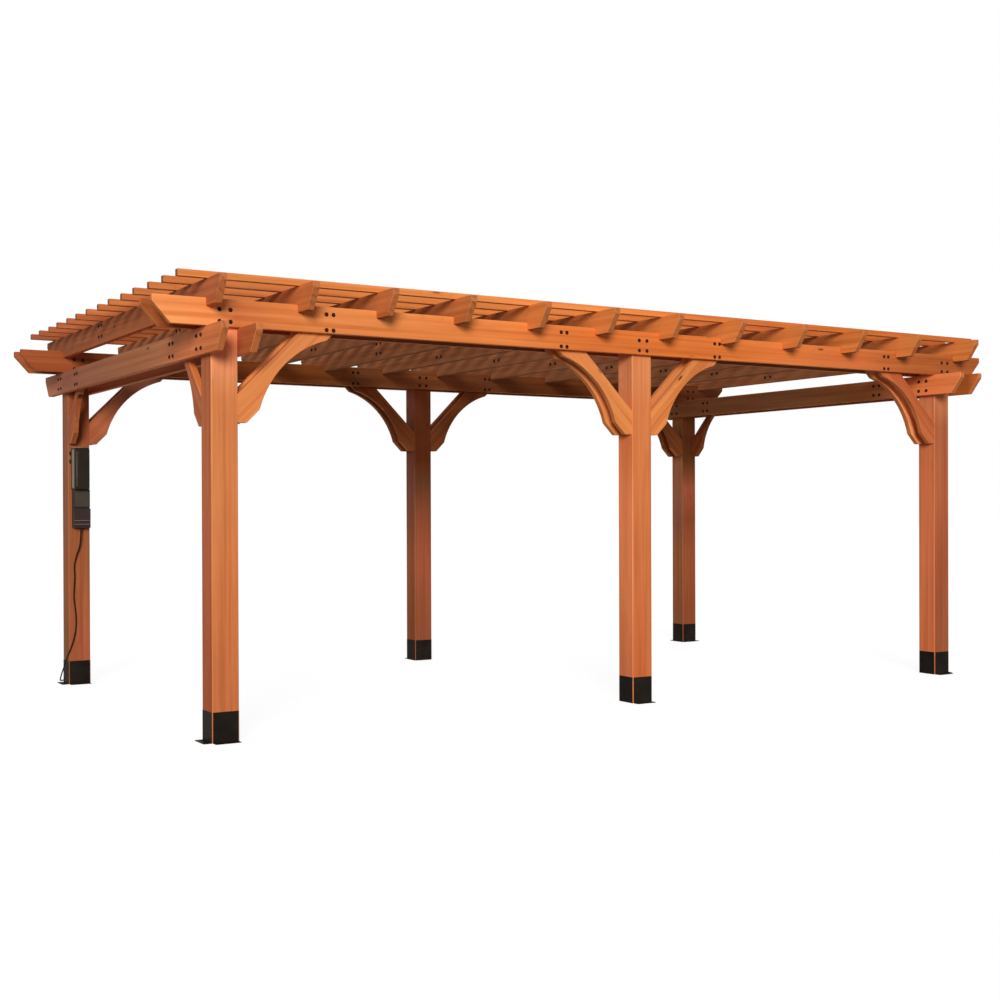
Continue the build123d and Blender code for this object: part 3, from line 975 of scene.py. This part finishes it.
def add_bolts():
    """Through bolts with a head on each face of a pair of boards, and on each face of a rafter."""
    outer = BEAM_OFFSET + BOARD / 2
    right, rear = SIDES["right"], SIDES["rear"]
    for row, y in ROWS.items():
        add_bolt_heads(f"long_beam_{row}", LONG_BEAM_BOLTS, y, outer, right, rear)
    for column in ("left", "right"):
        add_bolt_heads(f"end_beam_{column}", END_BEAM_BOLTS, COLUMNS[column], outer, rear, right)
    for number, place in enumerate(RAFTER_PLACES, start=1):
        add_bolt_heads(f"rafter_{number:02d}", RAFTER_BOLTS, place - BAY, BOARD / 2, rear, right)


add_bolts()


# power box

POST_FACE = HALF_DEPTH - POST / 2
BOX_BOTTOM = 1.067
BOX_FRONT = 0.066
LOUVRE_TOP = 1.199
LOUVRE_COUNT = 3
LOUVRE_PITCH = 0.014
LOUVRE_DEPTH = 0.006
FIRST_LOUVRE = 0.0115
PANEL_TOP = 1.329
COVER_TOP = 1.612


def slab(left, right, near, far, bottom, top, edge_width):
    """A block on the rear left post, from its centre line across and from its front face outward."""
    outline = [(near, bottom), (far, bottom), (far, top), (near, top)]
    origin = Vector((-BAY + (left + right) / 2, POST_FACE, 0))
    return prism(outline, right - left, origin, SIDES["front"], UP, UP, edge_width)


def stud(across, out, height, way, radius):
    """A small round screw head that looks a given way."""
    profile = [(radius, -0.001), (radius, 0.0012), (radius * 0.7, 0.0024), (0.0, 0.0028)]
    return turned(profile, Vector((-BAY + across, POST_FACE - out, height)), way, 12)


def add_power_box():
    """A louvred foot and a plain panel in one housing, and a hinged hood above them."""
    front, left = SIDES["front"], SIDES["left"]
    profile = [(0.0, BOX_BOTTOM), (BOX_FRONT - 0.004, BOX_BOTTOM), (BOX_FRONT, BOX_BOTTOM + 0.004)]
    deep = BOX_FRONT - LOUVRE_DEPTH
    for groove in range(LOUVRE_COUNT):
        height = BOX_BOTTOM + FIRST_LOUVRE + groove * LOUVRE_PITCH
        profile += [(BOX_FRONT, height), (deep, height + 0.0010)]
        profile += [(deep, height + 0.0040), (BOX_FRONT, height + 0.0050)]
    profile += [(BOX_FRONT, LOUVRE_TOP - 0.002), (BOX_FRONT - 0.002, LOUVRE_TOP), (0.044, LOUVRE_TOP)]
    profile += [(0.044, LOUVRE_TOP + 0.006), (0.050, LOUVRE_TOP + 0.007)]
    profile += [(0.050, PANEL_TOP), (0.0, PANEL_TOP)]
    origin = Vector((-BAY + 0.007, POST_FACE, 0))
    housing = [prism(profile, 0.110, origin, front, UP, UP, 0.0008)]
    housing += [stud(across, BOX_FRONT, 1.186, front, 0.003) for across in (-0.038, 0.052)]
    add_piece("power_box_housing", housing, BOX, "power_box", slot="box_plastic")
    panel = [slab(-0.041, 0.055, 0.048, 0.0525, 1.212, 1.322, 0.0012)]
    for across in (-0.035, 0.049):
        panel += [stud(across, 0.0525, height, front, 0.0025) for height in (1.218, 1.316)]
    add_piece("power_box_panel", panel, PANEL, slot="box_plastic")

    hood = [slab(-0.053, 0.044, 0.0, 0.101, PANEL_TOP, COVER_TOP, 0.005)]
    hood.append(slab(-0.038, 0.046, 0.097, 0.108, PANEL_TOP + 0.004, COVER_TOP - 0.010, 0.003))
    hood.append(slab(-0.030, 0.038, 0.106, 0.1095, PANEL_TOP + 0.016, COVER_TOP - 0.024, 0.002))
    for height in (1.575, 1.520):
        hood.append(slab(-0.063, -0.050, 0.0, 0.010, height - 0.014, height + 0.014, 0.002))
        hood.append(stud(-0.063, 0.005, height, left, 0.004))
    for height in (1.365, 1.530):
        hood.append(slab(-0.042, -0.0385, 0.100, 0.1065, height, height + 0.045, 0.001))
    add_piece("power_box_hood", hood, COVER, "power_box_cover", slot="cover_plastic")

    # pale strips on the hood: a painted highlight on its left side and along its door's edge, and a rim
    # along its top
    trim_and_highlights = [slab(-0.0555, -0.051, 0.034, 0.086, PANEL_TOP + 0.010, COVER_TOP - 0.012, 0.0015)]
    trim_and_highlights.append(slab(-0.0545, 0.0, 0.004, 0.098, COVER_TOP - 0.003, COVER_TOP + 0.0035, 0.001))
    trim_and_highlights.append(slab(-0.0405, -0.0385, 0.1015, 0.1085, PANEL_TOP + 0.020, COVER_TOP - 0.030, 0.0006))
    add_piece("power_box_trim_and_highlights", trim_and_highlights, PALE_TRIM_AND_HIGHLIGHT, slot="cover_plastic")
    # pale strips on the louvre lips: a painted highlight
    painted_highlight_heights = (1.0905, 1.1150)
    highlight_strips = [slab(-0.046, 0.060, 0.064, 0.0675, height, height + 0.004, 0.0006) for height in painted_highlight_heights]
    add_piece("power_box_lip_highlights", highlight_strips, LIP_PAINTED_HIGHLIGHT, slot="box_plastic")


add_power_box()


# mains lead

LEAD_RADIUS = 0.0045
LEAD_ROUTE = [
    (-BAY + across / 1000, POST_FACE - out / 1000, height / 1000)
    for across, out, height in (
        (4, 33, 1043), (4, 33, 1000), (-3, 26, 935), (-24, 17, 875), (-38, 12, 805), (-31, 11, 735),
        (-37, 11, 660), (-41, 11, 590), (-31, 11, 520), (-24, 11, 445), (-27, 12, 375), (-40, 12, 310),
        (-60, 12, 250), (-80, 6, 200), (-89, -18, 158), (-90, -55, 118), (-91, -100, 80), (-92, -140, 40),
        (-88, -175, 12), (-76, -203, 6), (-54, -224, 5), (-34, -246, 4.6),
    )
]
COIL_CENTRE = Vector((-BAY + 0.038, HALF_DEPTH + 0.185))
COIL_TURN_RADIUS = 0.050
PLUG_BEND = 0.042
PLUG_START = Vector((COIL_CENTRE.x - 0.014, COIL_CENTRE.y + 0.047, 0.029))


def coil_points():
    """Six turns on the ground, three side by side and three on top of them, then up into the plug."""
    points = []
    steps = 14
    radii = (COIL_TURN_RADIUS + 2 * LEAD_RADIUS, COIL_TURN_RADIUS, COIL_TURN_RADIUS - 2 * LEAD_RADIUS)
    turns = [(radius, LEAD_RADIUS) for radius in radii]
    turns += [(radius, 3 * LEAD_RADIUS) for radius in reversed(radii)]
    first_angle = math.radians(160)
    for turn, (radius, height) in enumerate(turns):
        next_radius, next_height = turns[min(turn + 1, len(turns) - 1)]
        for step in range(steps):
            share = max(0.0, (step - steps * 0.6) / (steps * 0.4))
            share = share * share * (3 - 2 * share)
            angle = first_angle - 2 * math.pi * step / steps
            reach = radius + (next_radius - radius) * share
            if turn == len(turns) - 1:
                next_height = height + 2 * LEAD_RADIUS
            points.append(
                (
                    COIL_CENTRE.x + reach * math.cos(angle),
                    COIL_CENTRE.y + reach * math.sin(angle),
                    height + (next_height - height) * share,
                )
            )
    for step, degrees in enumerate((180, 157, 134, 111, 93)):
        angle = math.radians(degrees)
        place = COIL_CENTRE + PLUG_BEND * Vector((math.cos(angle), math.sin(angle)))
        points.append((place.x - 0.017, place.y + 0.005, 0.0235 + 0.0013 * step))
    points.append(tuple(PLUG_START))
    return points


def nurbs(name, points, radius, material):
    """A smooth tube whose control points are the given points."""
    data = bpy.data.curves.new(name, "CURVE")
    data.dimensions = "3D"
    data.bevel_depth = radius
    data.bevel_resolution = 4
    data.resolution_u = 6
    data.use_fill_caps = True
    spline = data.splines.new("NURBS")
    spline.points.add(len(points) - 1)
    for point, place in zip(spline.points, points):
        point.co = (*place, 1)
    spline.order_u = 3
    spline.use_endpoint_u = True
    data.materials.append(material)
    piece = bpy.data.objects.new(name, data)
    scene.collection.objects.link(piece)
    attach(piece, "root")
    return piece


lead = nurbs("mains_lead", LEAD_ROUTE + coil_points(), LEAD_RADIUS, RUBBER)
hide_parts("lead", "lead_coil")


RIB_DEPTH = 0.0012


def ribbed(start, axis, radii, length, ribs):
    """A tapered sleeve with ribs, from a first radius to a last one."""
    profile = [(0.0, 0.0), (radii[0], 0.0), (radii[0], 0.003)]
    for rib in range(ribs):
        share = (rib + 0.5) / ribs
        radius = radii[0] + (radii[1] - radii[0]) * share
        inner = radius - RIB_DEPTH
        place = 0.003 + (length - 0.005) * share
        width = (length - 0.005) / ribs * 0.25
        profile += [(inner, place - 2 * width), (inner, place - width), (radius, place - width * 0.6)]
        profile += [(radius, place + width * 0.6), (inner, place + width)]
    profile += [(radii[1], length - 0.001), (radii[1] - 0.0005, length), (0.0, length)]
    return turned(profile, start, axis, 20)


BODY_LENGTH = 0.027
BLADE_HALF_GAP = 0.00635


def add_plug():
    """A moulded plug with a ribbed sleeve, finger grips and two blades, resting on the coil."""
    right, rear = SIDES["right"], SIDES["rear"]
    sleeve = ribbed(PLUG_START + right * 0.012, -right, (0.0080, 0.0056), 0.012, 3)
    body_start = PLUG_START + right * 0.011
    half = [(0.0, 0.0080), (0.004, 0.0105), (0.008, 0.0105), (0.010, 0.0095), (0.012, 0.0105)]
    half += [(0.014, 0.0105), (0.016, 0.0095), (0.018, 0.0118), (0.024, 0.013), (BODY_LENGTH, 0.013)]
    outline = half + [(a, -c) for a, c in reversed(half)]
    body = prism(outline, 0.021, body_start, right, rear, right, 0.0016)
    plug = add_piece("plug_body", [sleeve, body], RUBBER, "lead_plug", slot="lead_rubber")
    blades = []
    blade = [(-0.002, -0.00325), (0.0145, -0.00325), (0.016, -0.0018)]
    blade += [(a, -c) for a, c in reversed(blade)]
    for side in (-BLADE_HALF_GAP, BLADE_HALF_GAP):
        root = body_start + right * BODY_LENGTH + rear * side
        blades.append(prism(blade, 0.0016, root, right, UP, right, 0.0003))
    return plug, add_piece("plug_blades", blades, BRASS)


def add_tie():
    """A strap round the coil's turns, with its tail through a small buckle."""
    centre = Vector((COIL_CENTRE.x + COIL_TURN_RADIUS, COIL_CENTRE.y, 2 * LEAD_RADIUS))
    wide, high, thick, width = 3 * LEAD_RADIUS + 0.0002, 2 * LEAD_RADIUS - 0.0004, 0.0012, 0.009
    squareness = 0.45
    steps = 32
    bm = bmesh.new()
    rings = []
    for grow, side in ((0.0, -1), (thick, -1), (thick, 1), (0.0, 1)):
        ring = []
        for step in range(steps):
            angle = 2 * math.pi * step / steps
            a = math.copysign(abs(math.cos(angle)) ** squareness, math.cos(angle)) * (wide + grow)
            c = math.copysign(abs(math.sin(angle)) ** squareness, math.sin(angle))
            c *= high + (grow if angle < math.pi else 0.0)
            ring.append(bm.verts.new(centre + Vector((a, side * width / 2, c))))
        rings.append(ring)
    for inner, outer in zip(rings, rings[1:] + rings[:1]):
        for step in range(steps):
            follow = (step + 1) % steps
            bm.faces.new((inner[step], inner[follow], outer[follow], outer[step]))
    bmesh.ops.recalc_face_normals(bm, faces=bm.faces)
    top = centre + UP * (high + thick)
    buckle = [(-0.004, -0.0005), (0.004, -0.0005), (0.004, 0.003)]
    buckle += [(0.003, 0.004), (-0.003, 0.004), (-0.004, 0.003)]
    tail = [(0.003, 0.0004), (0.017, 0.0055), (0.0172, 0.0067), (0.003, 0.0018)]
    parts = [bm, prism(buckle, 0.012, top, SIDES["right"], UP, UP, 0.0005)]
    parts.append(prism(tail, 0.007, top, SIDES["right"], UP, UP, 0.0002))
    return add_piece("coil_tie", parts, RUBBER, slot="lead_rubber")


gland = ribbed(Vector((LEAD_ROUTE[0][0], LEAD_ROUTE[0][1], BOX_BOTTOM)), -UP, (0.0090, 0.0060), 0.024, 5)
add_piece("lead_sleeve", [gland], BOX, "lead_gland", slot="box_plastic")
plug, blades = add_plug()
tie = add_tie()
